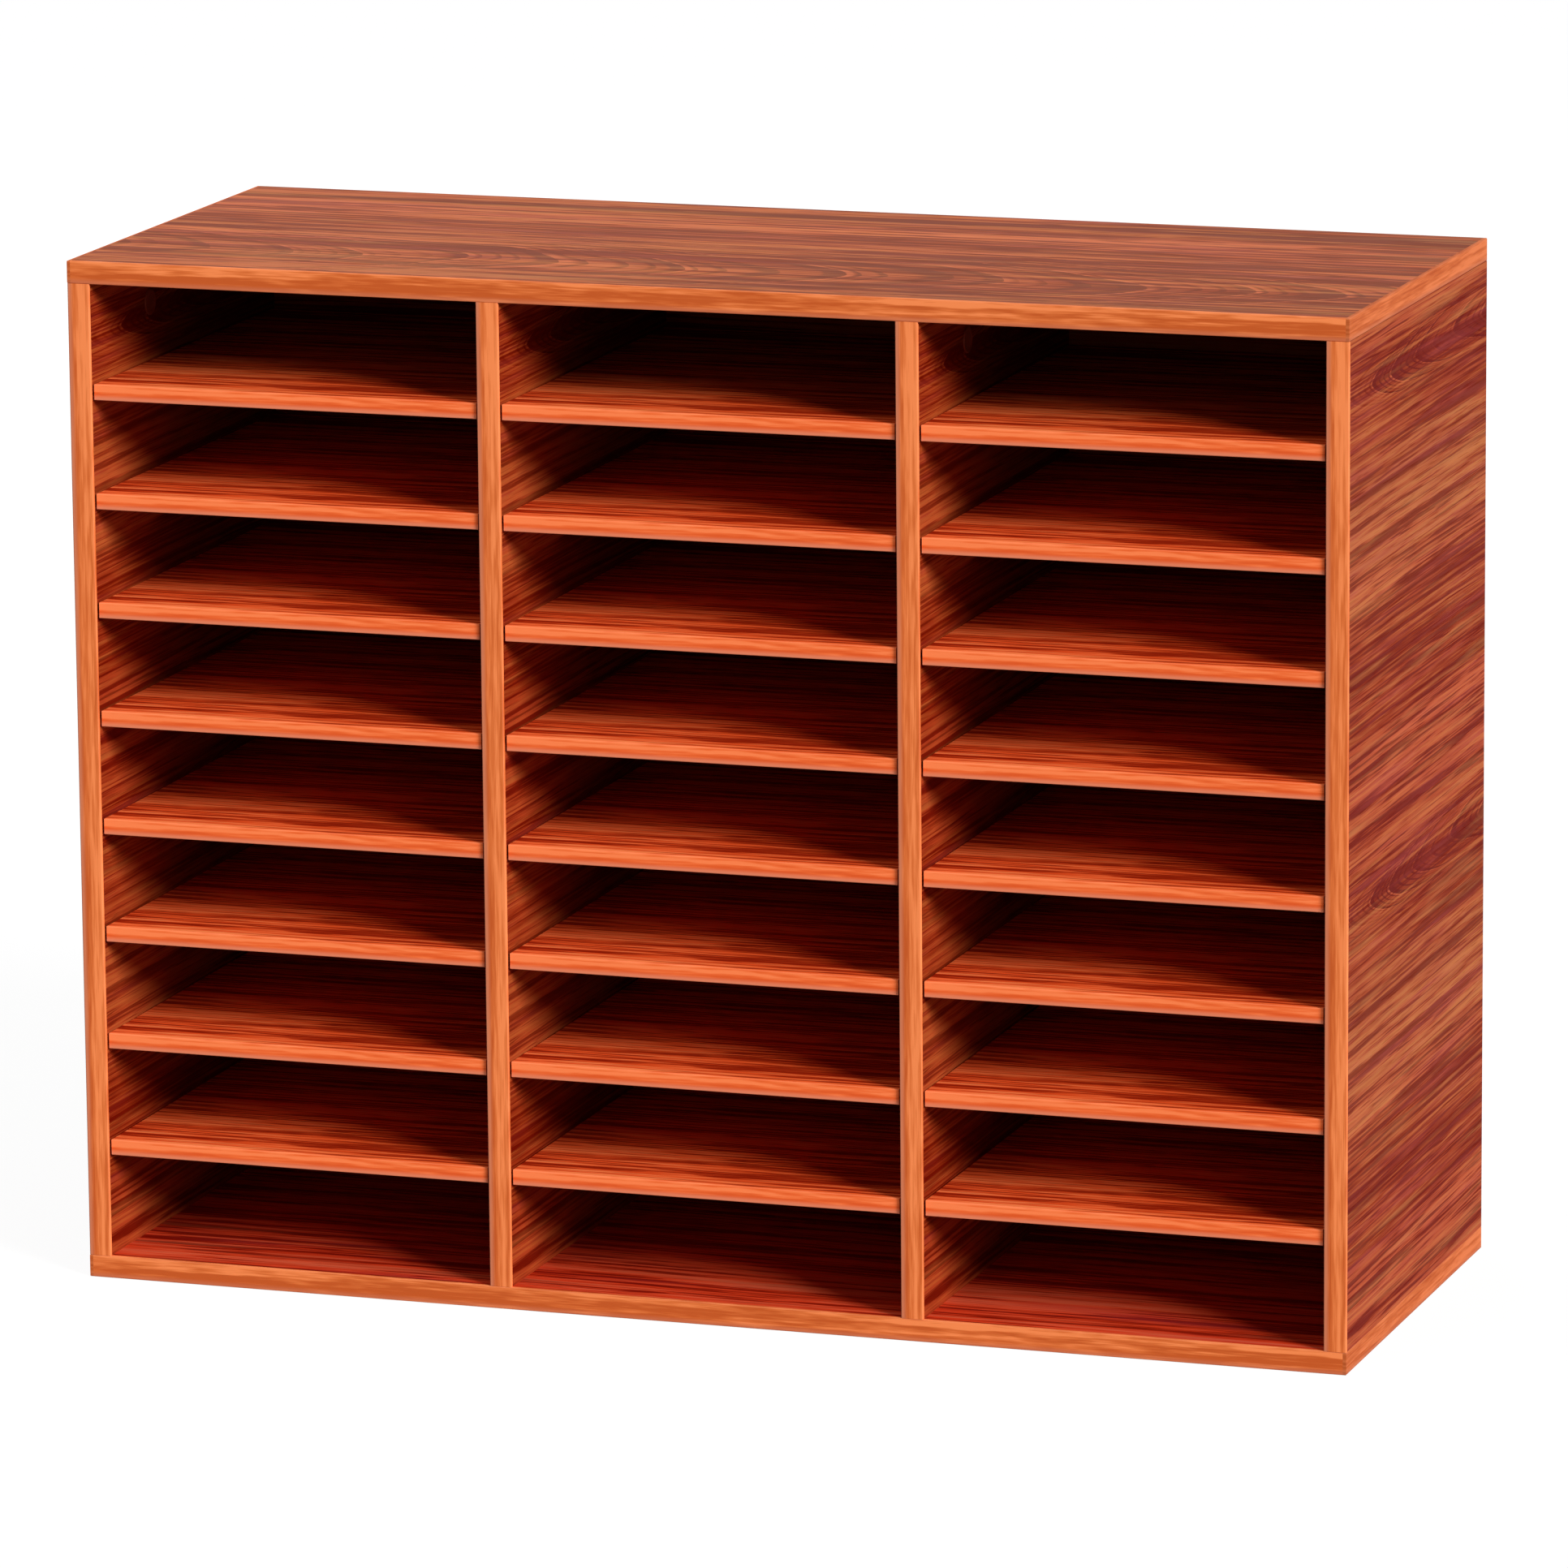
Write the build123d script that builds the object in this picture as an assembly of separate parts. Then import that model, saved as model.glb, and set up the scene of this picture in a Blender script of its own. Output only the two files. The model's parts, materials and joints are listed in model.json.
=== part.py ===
from build123d import *

import os
from itertools import pairwise
from math import asin, degrees

# A flat-pack literature organizer: a laminated board cabinet, open at the front, with two dividers
# and three columns of loose shelves that rest on pins and pull out of the front.
# Millimetres, +Z up, front towards -Y. The origin is the middle of the footprint, on the desk.

# Cabinet
width = 750.0
depth = 293.0
height = 592.0
panel_thickness = 13.0
column_names = ("left", "middle", "right")
wall_names = ("left_side_panel", "left_divider", "right_divider", "right_side_panel")

# Edge band glued over the cut edges of the boards
band_thickness = 2.0
band_radius = 0.6
band_least_flat = 0.2

# Hardboard back, held in a groove round the inside of the cabinet
back_thickness = 3.0
back_inset = 6.0
groove_depth = 4.0
groove_clearance = 0.2
groove_end_gap = 0.5

# Shelves: the bottom and top bays are a little taller than the rest, which share what is left
shelf_rows = 8
shelf_thickness = 9.0
bottom_bay = 59.6
top_bay = 57.6
shelf_set_back = 2.0
shelf_end_gap = 1.2
shelf_rear_gap = 2.0

# Shelf pins, four under each shelf
pin_diameter = 5.0
pin_reach = 7.0
pin_web = 3.0
pin_front_inset = 45.0
pin_rear_inset = 45.0
pin_seat_gap = 0.2
hole_clearance = 0.05

# Cam fittings that draw the top down on the upright boards
cam_diameter = 12.0
cam_drop = 24.0
cam_inset = 90.0
cam_slot_sweep = 150.0
cam_clearance = 0.1
drive_span = 6.0
drive_arm = 1.4
drive_depth = 1.5
cap_diameter = 15.0
cap_thickness = 1.0
cap_chamfer = 0.4

# Bolts that the cams grip
bolt_head_diameter = 5.2
bolt_head_height = 4.4
bolt_neck_diameter = 3.2
bolt_shaft_diameter = 6.0
bolt_thread_diameter = 5.0
bolt_skin = 3.5
head_clearance = 0.9
neck_clearance = 0.4

# Screws through the bottom into the upright boards
screw_diameter = 4.0
screw_head_diameter = 7.0
screw_head_height = 3.0
screw_length = 40.0
screw_recess = 0.6
screw_point = 3.5
screw_tip_diameter = 0.8
screw_inset = 60.0
screw_clearance = 0.2
socket_across = 3.0
socket_depth = 2.0

# Wooden dowels that place the upright boards
dowel_diameter = 6.0
dowel_reach = 18.0
dowel_skin = 4.0
end_gap = 0.5

# Fittings, pins and their holes are drawn with flats, which keeps the many copies light
fitting_sides = 8
pin_sides = 6

# Places that follow from the sizes above
front = -depth / 2
rear = depth / 2
inner_bottom = panel_thickness
inner_top = height - panel_thickness
board_front = front + band_thickness
back_rear = rear - back_inset
back_front = back_rear - back_thickness
band_corner = min(band_radius, band_thickness - band_least_flat)
column_count = len(column_names)
column_width = (width - (column_count + 1) * panel_thickness) / column_count
column_pitch = column_width + panel_thickness
shelf_space = inner_top - inner_bottom - bottom_bay - top_bay - shelf_thickness
shelf_pitch = shelf_space / (shelf_rows - 1)
shelf_bottoms = [inner_bottom + bottom_bay + row * shelf_pitch for row in range(shelf_rows)]
shelf_front = front + shelf_set_back
shelf_rear = back_front - shelf_rear_gap
pin_radius = pin_diameter / 2
pin_hole_depth = (panel_thickness - pin_web) / 2
pin_rows = [bottom - pin_seat_gap - pin_radius for bottom in shelf_bottoms]
pin_ys = (front + pin_front_inset, back_front - pin_rear_inset)
cam_ys = (front + cam_inset, back_front - cam_inset)
cam_z = inner_top - cam_drop
cam_cavity_radius = bolt_head_diameter / 2 + head_clearance
cam_plate = panel_thickness / 2 - cam_cavity_radius
cam_hole_depth = panel_thickness / 2 + cam_cavity_radius
cam_length = cam_hole_depth - cam_clearance
bolt_depth = panel_thickness - bolt_skin
screw_ys = (front + screw_inset, back_front - screw_inset)
dowel_y = (front + back_front) / 2
dowel_hole_depth = panel_thickness - dowel_skin


def board(x_range, y_range, z_range):
    """A flat board between two corners."""
    spans = (x_range, y_range, z_range)
    middle = [(low + high) / 2 for low, high in spans]
    return Pos(*middle) * Box(*[high - low for low, high in spans])


def flats(radius, z, sides=fitting_sides):
    """The section of a round piece or hole at a height: flats on its circle, one of them facing +X."""
    return Pos(0, 0, z) * RegularPolygon(radius, sides, major_radius=False, rotation=180 / sides)


def rod(radius, z_range, sides=fitting_sides):
    """A straight bar or hole along Z."""
    low, high = z_range
    return extrude(flats(radius, low, sides), amount=high - low)


def turned(*outline):
    """A turned piece or hole about Z, from the (radius, height) points of its outline, upwards."""
    stretches = []
    for (radius, z), (next_radius, next_z) in pairwise(outline):
        if next_z > z:
            stretches.append(loft([flats(radius, z), flats(next_radius, next_z)], ruled=True))
    return Part() + stretches


def rounded_section(thickness, breadth):
    """The section of a board's edge or its band, with both corners rounded on the outer side, -X."""
    section = Rectangle(thickness, breadth, align=(Align.MIN, Align.CENTER))
    return fillet(section.vertices().group_by(Axis.X)[0], band_corner)


def edge_strip(length, breadth):
    """An edge band along X, rounded along its two outer edges, with its outer face on y = 0, towards -Y."""
    return extrude(Plane.YZ * rounded_section(band_thickness, breadth), amount=length / 2, both=True)


def level_bands(z_range):
    """The three edge bands of the top or bottom: front, left and right.

    Those at the ends run through to the front, where they are shaped to the front band's rounding.
    """
    breadth = z_range[1] - z_range[0]
    middle = sum(z_range) / 2
    front_band = Pos(0, front, middle) * edge_strip(width - 2 * band_thickness, breadth)
    nose = extrude(Plane.YZ * rounded_section(depth, breadth), amount=width / 2, both=True)
    nose = Pos(0, front, middle) * nose
    end_bands = [
        Pos(side * width / 2, 0, middle) * Rot(0, 0, side * 90) * edge_strip(depth, breadth) & nose
        for side in (-1, 1)
    ]
    return [front_band, *end_bands]


def wall_left(wall):
    """The left face of an upright board, counted from the left."""
    return -width / 2 + wall * column_pitch


def wall_middle(wall):
    return wall_left(wall) + panel_thickness / 2


def wall_faces(wall):
    """The faces of an upright board that look into a column, as (x, direction)."""
    faces = []
    if wall > 0:
        faces.append((wall_left(wall), -1))
    if wall < column_count:
        faces.append((wall_left(wall) + panel_thickness, 1))
    return faces


def cam_face(wall):
    """The face that carries the cams: a side panel's inner face, a divider's face on its outer column."""
    return wall_faces(wall)[0 if 2 * wall < column_count else -1]


def facing(x, direction, y, z):
    """A place on an upright board's face, with local Z pointing straight out of it."""
    return Pos(x, y, z) * Rot(0, direction * 90, 0)


def wall_band(wall):
    """The front edge band of an upright board."""
    strip = Rot(0, 90, 0) * edge_strip(inner_top - inner_bottom, panel_thickness)
    return Pos(wall_middle(wall), front, (inner_bottom + inner_top) / 2) * strip


def back_slot(x_range, z_range):
    """The groove for the back, cut as one slot through whatever board it crosses."""
    return board(x_range, (back_front - groove_clearance, back_rear + groove_clearance), z_range)


def at_walls(piece, ys):
    """Copies of a piece on the middle plane of every upright board, at each depth in ys."""
    return [Pos(wall_middle(wall), y, 0) * piece for wall in range(len(wall_names)) for y in ys]


def on_cam_faces(piece):
    """Copies of a piece at every cam, with local Z pointing out of the board's face."""
    return [facing(*cam_face(wall), y, cam_z) * piece for wall in range(len(wall_names)) for y in cam_ys]


def dowel_hole(z_range):
    return rod(dowel_diameter / 2 + hole_clearance, z_range)


def top_panel():
    """The top: grooved and drilled from below for the back, the cam bolts and the dowels."""
    ends = (-width / 2 + band_thickness, width / 2 - band_thickness)
    panel = board(ends, (board_front, rear), (inner_top, height))
    bolt_hole = rod(bolt_thread_diameter / 2 + hole_clearance, (inner_top, inner_top + bolt_depth))
    holes = at_walls(bolt_hole, cam_ys)
    holes += at_walls(dowel_hole((inner_top, inner_top + dowel_hole_depth)), [dowel_y])
    return panel - back_slot(ends, (inner_top, inner_top + groove_depth)) - holes


def bottom_panel():
    """The bottom: grooved and drilled from above, with countersunk screw holes from below."""
    ends = (-width / 2 + band_thickness, width / 2 - band_thickness)
    panel = board(ends, (board_front, rear), (0, inner_bottom))
    shank = screw_diameter / 2 + screw_clearance
    head = screw_head_diameter / 2 + screw_clearance
    neck = screw_recess + screw_head_height
    screw_hole = turned((head, 0), (head, screw_recess), (shank, neck), (shank, inner_bottom))
    holes = at_walls(screw_hole, screw_ys)
    holes += at_walls(dowel_hole((inner_bottom - dowel_hole_depth, inner_bottom)), [dowel_y])
    return panel - back_slot(ends, (inner_bottom - groove_depth, inner_bottom)) - holes


def wall_holes(wall):
    """What is drilled into one upright board."""
    x = wall_middle(wall)
    pin_hole = rod(pin_radius + hole_clearance, (-pin_hole_depth, 0), pin_sides)
    holes = [
        facing(face_x, direction, y, z) * pin_hole
        for face_x, direction in wall_faces(wall)
        for z in pin_rows
        for y in pin_ys
    ]
    cam_hole = rod(cam_diameter / 2, (-cam_hole_depth, 0))
    holes += [facing(*cam_face(wall), y, cam_z) * cam_hole for y in cam_ys]
    bolt_hole = rod(bolt_shaft_diameter / 2 + hole_clearance, (cam_z, inner_top))
    holes += [Pos(x, y, 0) * bolt_hole for y in cam_ys]
    screw_top = screw_recess + screw_length + end_gap
    screw_hole = rod(screw_diameter / 2 + hole_clearance, (inner_bottom, screw_top))
    holes += [Pos(x, y, 0) * screw_hole for y in screw_ys]
    reach = dowel_reach + end_gap
    for z_range in ((inner_bottom, inner_bottom + reach), (inner_top - reach, inner_top)):
        holes.append(Pos(x, dowel_y, 0) * dowel_hole(z_range))
    return holes


def wall_panel(wall):
    """A side panel, grooved for the back, or a divider, which stops in front of it."""
    left = wall_left(wall)
    right = left + panel_thickness
    is_side = wall in (0, column_count)
    panel = board((left, right), (board_front, rear if is_side else back_front), (inner_bottom, inner_top))
    if is_side:
        face_x, direction = wall_faces(wall)[0]
        groove = sorted((face_x, face_x - direction * groove_depth))
        panel -= back_slot(groove, (inner_bottom, inner_top))
    return panel - wall_holes(wall)


def back_panel():
    """The hardboard back, which reaches into the grooves on all four sides."""
    lap = groove_depth - groove_end_gap
    half = width / 2 - panel_thickness + lap
    return board((-half, half), (back_front, back_rear), (inner_bottom - lap, inner_top + lap))


def shelf(column, row):
    """A loose shelf: its board and the edge band on its front."""
    left = wall_left(column) + panel_thickness + shelf_end_gap
    right = wall_left(column + 1) - shelf_end_gap
    low = shelf_bottoms[row]
    high = low + shelf_thickness
    plate = board((left, right), (shelf_front + band_thickness, shelf_rear), (low, high))
    strip = edge_strip(right - left, shelf_thickness)
    return [plate, Pos((left + right) / 2, shelf_front, (low + high) / 2) * strip]


def wall_pins(wall):
    """The shelf pins that stand out of one upright board."""
    pin = rod(pin_radius, (-pin_hole_depth + hole_clearance, pin_reach), pin_sides)
    return [
        facing(face_x, direction, y, z) * pin
        for face_x, direction in wall_faces(wall)
        for z in pin_rows
        for y in pin_ys
    ]


def drive_blade(clearance, z_range):
    """One arm of a cam's cross slot, or the blade of the cap that plugs it."""
    span = drive_span / 2 - clearance
    arm = drive_arm / 2 - clearance
    return board((-span, span), (-arm, arm), z_range)


def cam_lock(upward):
    """A cam, turned tight: a cup with a cross slot on top and a side slot, swept over the bolt's neck.

    upward is the direction of the bolt round the cam's axis, in degrees.
    """
    radius = cam_diameter / 2 - cam_clearance
    cup = rod(radius, (-cam_length, 0)) - rod(cam_cavity_radius, (-cam_length, -cam_plate))
    blade = drive_blade(0, (-drive_depth, 0))
    cup -= blade + Rot(0, 0, 90) * blade
    slot_width = bolt_neck_diameter + 2 * neck_clearance
    start = upward - degrees(asin(slot_width / 2 / cam_cavity_radius))
    rim = CenterArc((0, 0), cam_diameter, start, cam_slot_sweep)
    sector = make_face([rim, Line((0, 0), rim @ 0), Line((0, 0), rim @ 1)])
    slot = Pos(0, 0, -panel_thickness / 2) * extrude(sector, amount=slot_width / 2, both=True)
    entry = Rot(0, 90, 0) * rod(bolt_head_diameter / 2 + neck_clearance, (0, cam_diameter))
    entry = Pos(0, 0, -panel_thickness / 2) * Rot(0, 0, start + cam_slot_sweep) * entry
    return cup - slot - entry


def cam_locks():
    """A cam for every bolt; local X points down on a face that looks to +X, and up on the other kind."""
    cams = {1: cam_lock(180), -1: cam_lock(0)}
    faces = [cam_face(wall) for wall in range(len(wall_names))]
    return [facing(x, direction, y, cam_z) * cams[direction] for x, direction in faces for y in cam_ys]


def cam_cover_caps():
    """Push-in caps that hide the cams, each with a blade in the cam's slot."""
    radius = cap_diameter / 2
    disc = turned((radius, 0), (radius - cap_chamfer, cap_thickness))
    return on_cam_faces(disc + drive_blade(cam_clearance, (-drive_depth + cam_clearance, 0)))


def cam_bolts():
    """Bolts screwed into the top, with a barrel-shaped head that the cam pulls on."""
    head = bolt_head_diameter / 2
    neck = bolt_neck_diameter / 2
    shaft = bolt_shaft_diameter / 2
    thread = bolt_thread_diameter / 2
    shoulder = cam_diameter / 2 + neck_clearance
    seat = cam_drop - hole_clearance
    tip = cam_drop + bolt_depth - end_gap
    bolt = turned(
        (neck, -bolt_head_height / 2),
        (head, 0),
        (neck, bolt_head_height / 2),
        (neck, shoulder),
        (shaft, shoulder + shaft - neck),
        (shaft, seat),
        (thread, seat),
        (thread, tip),
    )
    return at_walls(Pos(0, 0, cam_z) * bolt, cam_ys)


def base_screws():
    """Countersunk socket screws, from below through the bottom into the upright boards."""
    head = screw_head_diameter / 2
    shank = screw_diameter / 2
    low = screw_recess
    high = screw_recess + screw_length
    neck = low + screw_head_height
    screw = turned((head, low), (shank, neck), (shank, high - screw_point), (screw_tip_diameter / 2, high))
    socket = extrude(RegularPolygon(socket_across / 2, 6, major_radius=False), amount=socket_depth)
    return at_walls(screw - Pos(0, 0, low) * socket, screw_ys)


def dowels():
    """One dowel in the middle of each end of each upright board."""
    dowel = rod(dowel_diameter / 2, (-dowel_reach, dowel_hole_depth - end_gap))
    upper = at_walls(Pos(0, 0, inner_top) * dowel, [dowel_y])
    lower = at_walls(Pos(0, 0, inner_bottom) * Rot(180, 0, 0) * dowel, [dowel_y])
    return upper + lower


def all_pieces():
    """Every node by name, each as a list of its pieces."""
    pieces = {
        "top_panel": [top_panel()],
        "bottom_panel": [bottom_panel()],
        "back_panel": [back_panel()],
        "top_panel_edge_band": level_bands((inner_top, height)),
        "bottom_panel_edge_band": level_bands((0, inner_bottom)),
        "cam_locks": cam_locks(),
        "cam_bolts": cam_bolts(),
        "cam_cover_caps": cam_cover_caps(),
        "base_screws": base_screws(),
        "dowels": dowels(),
    }
    for wall, name in enumerate(wall_names):
        pieces[name] = [wall_panel(wall)]
        pieces[name + "_edge_band"] = [wall_band(wall)]
        pieces[name + "_shelf_pins"] = wall_pins(wall)
    for column, name in enumerate(column_names):
        for row in range(shelf_rows):
            pieces[f"{name}_shelf_{row + 1}"] = shelf(column, row)
    return pieces


os.makedirs("parts", exist_ok=True)
for node, pieces in all_pieces().items():
    solids = [solid for piece in pieces for solid in piece.solids()]
    export_step(Compound(children=solids), f"parts/{node}.step")
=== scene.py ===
"""Finishes, round fittings and a photo stage for a desktop organizer with three columns of loose shelves."""

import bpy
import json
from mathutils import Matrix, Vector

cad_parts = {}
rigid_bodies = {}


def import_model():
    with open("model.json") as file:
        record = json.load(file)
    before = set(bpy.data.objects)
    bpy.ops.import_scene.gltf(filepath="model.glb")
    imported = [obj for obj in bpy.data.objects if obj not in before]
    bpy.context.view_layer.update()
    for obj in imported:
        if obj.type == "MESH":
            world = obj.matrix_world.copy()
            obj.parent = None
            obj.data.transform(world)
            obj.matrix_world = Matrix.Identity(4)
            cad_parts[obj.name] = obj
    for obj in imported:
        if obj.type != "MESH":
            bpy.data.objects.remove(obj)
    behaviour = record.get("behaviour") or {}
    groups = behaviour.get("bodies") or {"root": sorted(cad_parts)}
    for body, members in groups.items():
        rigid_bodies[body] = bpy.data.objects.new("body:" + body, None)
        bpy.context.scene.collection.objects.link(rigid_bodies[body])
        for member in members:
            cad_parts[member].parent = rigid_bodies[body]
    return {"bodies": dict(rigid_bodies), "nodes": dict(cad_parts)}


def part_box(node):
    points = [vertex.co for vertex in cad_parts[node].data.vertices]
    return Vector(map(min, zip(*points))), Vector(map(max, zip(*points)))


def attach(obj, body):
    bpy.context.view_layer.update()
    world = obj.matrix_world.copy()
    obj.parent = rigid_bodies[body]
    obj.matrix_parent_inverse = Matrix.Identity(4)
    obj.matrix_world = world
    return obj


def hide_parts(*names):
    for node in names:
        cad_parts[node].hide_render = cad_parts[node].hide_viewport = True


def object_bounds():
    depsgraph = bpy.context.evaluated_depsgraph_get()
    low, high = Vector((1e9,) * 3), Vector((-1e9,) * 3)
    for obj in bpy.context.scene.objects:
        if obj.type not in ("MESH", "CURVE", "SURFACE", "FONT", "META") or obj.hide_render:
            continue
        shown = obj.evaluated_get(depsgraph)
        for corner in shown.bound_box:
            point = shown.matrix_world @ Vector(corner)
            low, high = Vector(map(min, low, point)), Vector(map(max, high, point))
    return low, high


bl_info = {
    "name": "Literature Organizer",
    "version": (1, 0, 0),
    "blender": (4, 5, 0),
    "location": "3D View > Sidebar > Organizer",
    "description": "Wood-print finishes, round fittings and a photo stage for a pocket cabinet",
    "category": "Object",
}

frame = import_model()

import json
import math

import bpy
from bpy.props import FloatProperty, FloatVectorProperty, PointerProperty
from mathutils import Matrix, Vector

MM = 0.001
CABINET = "cabinet"
WALLS = ("left_side_panel", "left_divider", "right_divider", "right_side_panel")
LEVEL_BOARDS = ("top_panel", "bottom_panel")
NODES = frame["nodes"]
# Each loose shelf is a body with one node of the same name.
SHELVES = sorted(body for body in frame["bodies"] if body != CABINET)
CAD_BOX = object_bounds()
LOW, HIGH = CAD_BOX
PLAIN = (1.0, 1.0, 1.0)
PRINT_INPUTS = ("Along", "Across", "Sheet", "Arch width", "Arch length", "Arch spacing", "Bluntness")
PRINT_OUTPUTS = ("Tone", "Brown", "Grain", "Pores", "Fine")
# Half width, length and spacing of the arches in the print, and how blunt they are.
STRAIGHT_GRAIN = (0.1 * MM, 60 * MM, 70 * MM, 2.0)
TOP_ARCHES = (58 * MM, 240 * MM, 75 * MM, 1.6)
WALL_ARCHES = (25 * MM, 80 * MM, 50 * MM, 1.3)
# The place of each print in the endless noise, so that each kind of board has its own.
SHEETS = {
    "top": 3.7, "bottom": 9.4, "wall": 1.3, "shelf": 8.1, "back": 11.9, "shelf_band": 5.2,
    "upright_band": 2.4, "level_band": 7.6,
}
# Waves per metre along the grain, across it and from sheet to sheet.
WAVES = {
    "drift": (1.5, 3.0, 1), "wander": (6, 1, 1), "ripple": (14, 30, 1), "swell": (3, 1, 1),
    "jitter": (13, 1, 1), "uneven": (7, 45, 1), "strong": (19, 1, 5), "broad": (1.6, 42, 1),
    "strand": (2, 140, 1), "streak": (3.5, 450, 1), "dash": (22, 560, 1), "fine": (12, 900, 1),
    "crossing": (2.2, 170, 1), "pore": (30, 1300, 1), "blotch": (6, 150, 1), "band_streak": (6, 260, 1),
    "band_dash": (40, 500, 1), "band_fine": (26, 1500, 1),
}
# Between these distances from its left or lower edge, a band goes from painted shade to painted light,
# painted as if the flat band were domed and turned to the lamp.
UPRIGHT_SHADE_TO_LIGHT = (3.5 * MM, 6 * MM)
LEVEL_SHADE_TO_LIGHT = (6 * MM, 11 * MM)
END_SHADE_TO_LIGHT = (0.0, MM)
SHELF_SHADE_TO_LIGHT = (4 * MM, 7 * MM)
# Between these distances from the same edge, a painted sheen grows towards that edge: a pale reflection
# painted on the band.
BAND_SHEEN = (3.8 * MM, 0.6 * MM)
# Widens the streaks of the print on the level boards.
LEVEL_NARROWING = 0.5
TOP_CONTRAST = 2.2
# Share of the painted sheen, a pale reflection painted on the upper face of the top.
TOP_SHEEN_SHARE = 0.13
SHELF_CONTRAST = 1.4
LAMINATE_SPECULAR = 0.005
LAMINATE_ROUGHNESS = 0.44
BAND_ROUGHNESS = 0.42
# Height of the bump in the print of a board and of a band.
PRINT_RELIEF = 0.06 * MM
BAND_RELIEF = 0.05 * MM
# Waves per metre along X, Y and Z in the finishes that carry no print.
GRIT = {
    "chips": (420, 420, 620), "speck": (900, 900, 900), "metal_cloud": (420, 420, 420),
    "scratch": (260, 2600, 2600), "fibres": (420, 420, 420), "screen": (520, 520, 520),
    "plastic_grain": (1600, 1600, 1600), "plastic_cloud": (160, 160, 160), "fleck": (900, 900, 160),
}
# Small roundings and steps of the pins, caps and screws.
PIN_ROUNDING = 0.7 * MM
CAP_ROUNDING = 0.4 * MM
CAP_SLOPE = 0.3 * MM
CAP_HOLLOW = 0.2 * MM
CAP_CROWN_SLOPE = 1.8 * MM
CAP_CROWN = 0.12 * MM
SCREW_RIM = 0.3 * MM
SCREW_POINT = 3.5 * MM
SCREW_TIP_SHARE = 0.2
SMOOTH_ANGLE = math.radians(35)
# Width of the camera's sensor in millimetres.
SENSOR_WIDTH = 36.0
FLOOR_GREY = 0.55
SHADOW_GAIN = 1.5


def node_low(node):
    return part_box(node)[0]


def node_high(node):
    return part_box(node)[1]


COLUMN_PITCH = node_low("left_divider").x - node_low("left_side_panel").x
BAND_BACK = node_low("left_divider").y
SHELF_BAND_BACK = node_low("left_shelf_1").y + BAND_BACK - LOW.y
SHELF_LOW = node_low("left_shelf_1").z
SHELF_PITCH = node_low("left_shelf_2").z - SHELF_LOW
TOP_LOW = node_low("top_panel").z
END_BAND_INSIDE = node_high("top_panel").x
BACK_FACE = node_low("back_panel").y


def colour(red, green, blue):
    """A screen colour, 0 to 255, as the linear red, green and blue that a shader takes."""
    parts = []
    for part in (red, green, blue):
        share = part / 255
        parts.append(share / 12.92 if share <= 0.04045 else ((share + 0.055) / 1.055) ** 2.4)
    return tuple(parts)


def darker(tint, share):
    return [part * share for part in tint]


def length_property(name, description, default):
    return FloatProperty(name=name, description=description, default=default, unit="LENGTH", precision=5)


def colour_property(name, description, default):
    return FloatVectorProperty(
        name=name, description=description, default=default, subtype="COLOR", size=3, min=0.0, max=1.0
    )


class ORGANIZER_PG_sizes(bpy.types.PropertyGroup):
    """Sizes of the wood print and of the fittings."""

    print_repeat: length_property("Print repeat", "Width of the wood print before it repeats", 290 * MM)
    grain_drift: length_property("Grain drift", "How far the grain wanders from a straight line", 6 * MM)
    wall_heart: length_property("Heart on the uprights", "Height of the print's heart line", 548 * MM)
    top_heart: length_property("Heart on the top", "Distance of the heart line behind the front", 70 * MM)
    back_heart: length_property("Heart on the back", "Height of the print's heart line", 240 * MM)
    wall_shift: length_property("Shift on the uprights", "How far the print is moved to the front", 50 * MM)
    shelf_shift: length_property("Shift on the shelves", "How far the print is moved to the back", 45 * MM)
    pin_diameter: length_property("Pin diameter", "Diameter of a shelf pin", 5 * MM)
    pin_reach: length_property("Pin reach", "How far a shelf pin stands out of the board", 7 * MM)
    pin_depth: length_property("Pin depth", "How deep a shelf pin sits in the board", 3 * MM)
    pin_inset: length_property("Pin inset", "Distance of the pins from the front and the back", 45 * MM)
    pin_gap: length_property("Pin gap", "Play between a pin and the shelf that lies on it", 0.2 * MM)
    collar_diameter: length_property("Collar diameter", "Diameter of the stop collar of a pin", 7 * MM)
    collar_thickness: length_property("Collar thickness", "Thickness of the stop collar of a pin", 0.8 * MM)
    cap_diameter: length_property("Cap diameter", "Diameter of a cam's cover cap", 15 * MM)
    cap_thickness: length_property("Cap thickness", "How far a cover cap stands out of the board", 1 * MM)
    cap_rim: length_property("Cap rim", "Width of the raised rim of a cover cap", 1.6 * MM)
    screw_head: length_property("Screw head", "Diameter of the countersunk head of a base screw", 7 * MM)
    screw_shank: length_property("Screw shank", "Diameter of a base screw", 4 * MM)
    screw_head_height: length_property("Screw head height", "Height of the countersunk head", 3 * MM)
    screw_socket: length_property("Screw socket", "Width of the hexagon socket across its flats", 3 * MM)
    screw_socket_depth: length_property("Socket depth", "Depth of the hexagon socket", 2 * MM)
    screw_inset: length_property("Screw inset", "Distance of the screws from the front edge", 60 * MM)


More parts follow.
